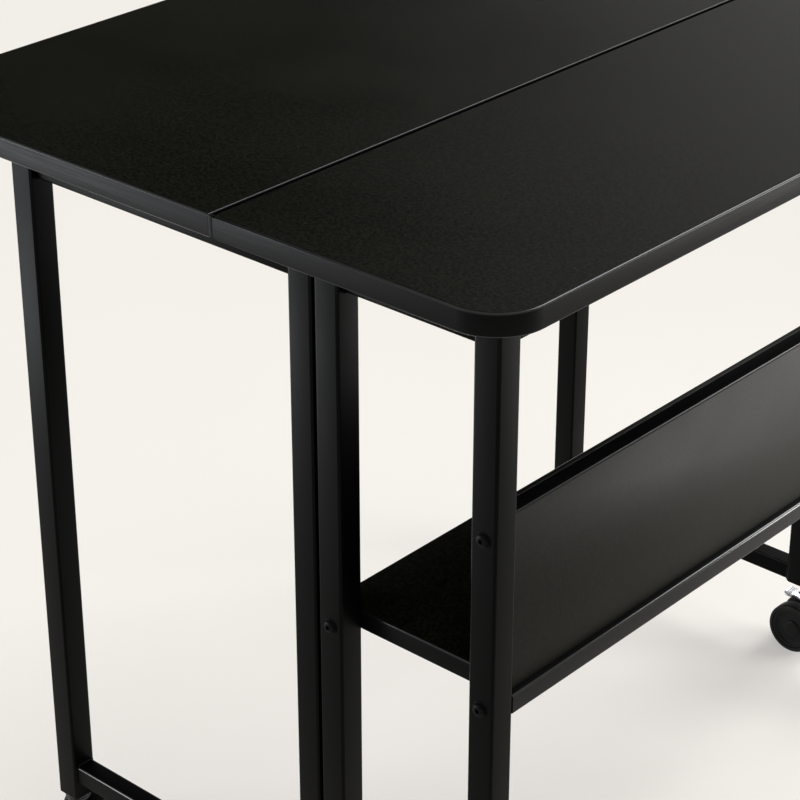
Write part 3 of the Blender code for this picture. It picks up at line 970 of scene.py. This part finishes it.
def web(tag, caster, braked):
    """Middle web with rounded edges, slotted at the top for a lever."""
    arc = [radians(t) for t in range(215, 396, 12)]
    outline = [(-NECK, NECK_TOP), (-NECK, NECK_LOW)]
    outline += [(TRAIL + BOSS * cos(t), AXLE_Z + BOSS * sin(t)) for t in arc]
    outline += [(NECK, NECK_LOW), (NECK, NECK_TOP)]
    bm = bmesh.new()
    face = bm.faces.new([bm.verts.new((x, -WEB / 2, z)) for x, z in outline])
    grown = bmesh.ops.extrude_face_region(bm, geom=[face])["geom"]
    moved = [v for v in grown if isinstance(v, bmesh.types.BMVert)]
    bmesh.ops.translate(bm, vec=(0, WEB, 0), verts=moved)
    rims = [e for e in bm.edges if abs(e.verts[0].co.y - e.verts[1].co.y) < 1e-6]
    bmesh.ops.bevel(bm, geom=rims, offset=RIM, segments=3, affect="EDGES", profile=0.5)
    bmesh.ops.transform(bm, matrix=caster, verts=bm.verts)
    obj = piece("caster_web_" + tag, bm, moulded, "caster_" + tag,
                ("caster_body_" + tag,))
    if braked:
        slot = block((LEVER_X - LEVER_ROOM, -LEVER_ROOM, LEVER_Z - LEVER_ROOM),
                     (NECK * 2, LEVER_ROOM, LEVER_Z + LEVER_ROOM))
        bmesh.ops.transform(slot, matrix=caster, verts=slot.verts)
        carve(obj, [slot])


def collar(tag, caster):
    bm = lathe(from_mm(COLLAR), caster, 40)
    piece("caster_collar_" + tag, bm, dark_plate, "caster_" + tag)


print("web", round(WEB * 1000, 1), "mm thick, collar up to", COLLAR[-1][0], "mm")

# %% [markdown]
# ## Brake levers
# A lever is one pressed strip: a narrow arm between the wheels that widens to a turned-up pedal
# with three grip ribs. The strip is a run of thin rounded outlines, and a short roll and a pin are
# turned where it pivots.

# %% Levers
# Along the lever, up from its pivot, and half its width in millimetres.
STRIP = ((-0.0025, 0.0, 2.6), (0.0, 0.0, 3.2), (0.012, 0.0034, 3.2), (0.0235, 0.0067, 3.2),
         (0.0268, 0.0078, 4.2), (0.0285, 0.0082, 7.6), (0.0305, 0.0084, 8.8),
         (0.0345, 0.0090, 9.0), (0.0362, 0.0096, 8.4), (0.0370, 0.0101, 6.8))
STRIP_HALF = 0.0011  # half its thickness
STRIP_R = 0.0007
ROLL = ((-0.0034, 0.0026), (-0.0032, 0.0031), (0.0032, 0.0031), (0.0034, 0.0026))
PIN = ((-0.0063, 0.0012), (-0.0062, 0.0019), (0.0062, 0.0019), (0.0063, 0.0012))
GRIPS = 3
GRIP_FIRST = 0.0298
GRIP_STEP = 0.0022
GRIP_HALF = 0.0004
GRIP_SIDE = 0.0068
GRIP_FOOT = 0.0092
GRIP_TOP = 0.0101
GRIP_RISE = 0.0002  # each rib stands this much higher than the one before


def lever(tag, caster):
    rings = []
    for along, z, half in STRIP:
        ring = []
        for u, v, corner in rounded(2 * half / 1000, 2 * STRIP_HALF, (STRIP_R,) * 4, 3):
            p = caster @ Vector((LEVER_X + along, u, LEVER_Z + z + v))
            ring.append((*p, corner))
        rings.append(ring)
    bm = skin(rings)
    pivot = caster @ Matrix.Translation((LEVER_X, 0.0, LEVER_Z)) @ Matrix.Rotation(pi / 2, 4, "X")
    lathe(ROLL, pivot, 24, bm)
    lathe(PIN, pivot, 20, bm)
    for k in range(GRIPS):
        along = GRIP_FIRST + GRIP_STEP * k
        low = Vector((LEVER_X + along - GRIP_HALF, -GRIP_SIDE, LEVER_Z + GRIP_FOOT))
        top = LEVER_Z + GRIP_TOP + GRIP_RISE * k
        high = Vector((LEVER_X + along + GRIP_HALF, GRIP_SIDE, top))
        grip = block(low, high)
        bmesh.ops.transform(grip, matrix=caster, verts=grip.verts)
        mesh = meshed("grip", grip)
        bm.from_mesh(mesh)
        bpy.data.meshes.remove(mesh)
    piece("caster_brake_" + tag, bm, zinc, "lever_" + tag, ("caster_lever_" + tag,))


braked = [tag for tag in CASTERS if not tag.startswith("gate")]
for tag, caster in CASTERS.items():
    web(tag, caster, tag in braked)
    collar(tag, caster)
    if tag in braked:
        lever(tag, caster)
print("webs", len(CASTERS), "levers", len(braked))

# %% [markdown]
# ## Camera
# The camera stands in front of the desk's right corner and looks down at it, with a long lens. Its
# place was worked out from the straight edges of the desk. The lens shift stays at zero.

# %% Camera
EYE = Vector((1.3298, -1.6240, 1.4951))
AIM = Vector((0.0, -0.1283, 0.4538))


def aimed(way):
    """Rotation that turns a camera or lamp along a direction."""
    return way.to_track_quat("-Z", "Y").to_euler()


lens = bpy.data.cameras.new("camera")
lens.sensor_width = 36.0
lens.lens = 110.76
camera = show("camera", lens)
camera.location = EYE
camera.rotation_euler = aimed(AIM - EYE)
bpy.context.scene.camera = camera
print("camera", round((AIM - EYE).length, 2), "m from the desk")

# %% [markdown]
# ## Floor and light
# A black desk is shown by what it mirrors. The floor is pale and reaches far. A broad window behind
# the desk lights its upper edges, and two soft boxes stand low, one at the front left and one at
# the back right, so that the upright faces fade from grey to black. The walls are pale near the
# floor and dimmer above. Behind the leaf they are nearly black, and the smooth top mirrors that: it
# is dark at the leaf and grows paler towards the far right.

# %% Floor
bpy.context.scene.view_settings.view_transform = "Standard"
FLOOR_R = 14.0
LIFT = 0.36  # share of paper white in the floor, which softens its shade
PAPER = (0.97, 0.955, 0.93, 1.0)
ground = paint("pale_floor", **{"Specular IOR Level": 0.1})
here = ground.place()
mottle = ground.noise(here, 1.6, 4.0)
dust = ground.noise(here, 240.0)
ground.feed(ground.shader, {
    "Base Color": ground.blend(mottle, (0.85, 0.805, 0.745, 1.0), (0.905, 0.87, 0.82, 1.0)),
    "Roughness": ground.spread(dust, 0.3, 0.7, 0.55, 0.7),
})
kinds = ("Is Camera Ray", "Is Glossy Ray", "Is Transmission Ray")
seen, mirrored, clear = (ground.node("ShaderNodeLightPath", out=kind) for kind in kinds)
paper = ground.node("ShaderNodeEmission", None, {"Color": PAPER, "Strength": 1.0})
shaded = Wire(ground, ground.shader.outputs[0])
lifted = (seen + mirrored + clear) * LIFT
surface = ground.node("ShaderNodeMixShader", None, {0: lifted, 1: shaded, 2: paper})
ground.feed(ground.tree.nodes["Material Output"], {"Surface": surface})
bm = bmesh.new()
bmesh.ops.create_circle(bm, cap_ends=True, radius=FLOOR_R, segments=96)
mesh = meshed("floor", bm)
mesh.materials.append(ground.block)
floor = show("floor", mesh)
print("floor ready")

# %% Lamps
SUN_WAY = Vector((-0.15, -0.71, -0.69))
sun = bpy.data.lights.new("back_window", "SUN")
sun.energy = 1.8
sun.angle = radians(30.0)
sun.color = (0.97, 0.985, 1.0)
window = show("back_window", sun)
window.rotation_euler = aimed(SUN_WAY)


def soft_box(name, spot, aim, side, power, color):
    """Square lamp that shines from spot to aim."""
    lamp = bpy.data.lights.new(name, "AREA")
    lamp.size = side
    lamp.spread = radians(100.0)
    lamp.energy = power
    lamp.color = color
    box = show(name, lamp)
    box.location = spot
    box.rotation_euler = aimed(Vector(aim) - Vector(spot))
    box.visible_camera = False


soft_box("left_box", (-1.0, -1.2, 0.42), (-0.2, -0.4, 0.62), 0.6, 4.6, (0.92, 0.96, 1.0))
soft_box("right_box", (1.15, 1.3, 0.5), (0.3, 0.35, 0.42), 0.8, 7.5, (1.0, 0.985, 0.97))
print("lamps", len(bpy.data.lights))

# %% Walls
LOW_WALL = (0.89, 0.875, 0.85, 1.0)
HIGH_WALL = (0.6, 0.592, 0.583, 1.0)
DARK_WALL = (0.02, 0.02, 0.02, 1.0)
CEILING = (0.72, 0.695, 0.66, 1.0)
DARK_WAY = (-0.88, 0.36, 0.31)  # middle of the dark wall, behind the leaf
room = Finish(bpy.data.worlds.new("room"))
bpy.context.scene.world = room.block
way = room.node("ShaderNodeTexCoord", out=0)
up = room.upward(way)
left = room.node("ShaderNodeVectorMath", {"operation": "DOT_PRODUCT"}, {0: way, 1: DARK_WAY}, 1)
walls = room.blend(room.spread(up, 0.06, 0.24), LOW_WALL, HIGH_WALL)
dark = room.spread(left, 0.79, 0.93) * room.spread(up, 0.055, 0.13)
tone = room.blend(dark, walls, DARK_WALL)
tone = room.blend(room.spread(up, 0.7, 0.88), tone, CEILING)
room.feed(room.tree.nodes["Background"], {"Color": tone, "Strength": 1.0})
print("walls ready")
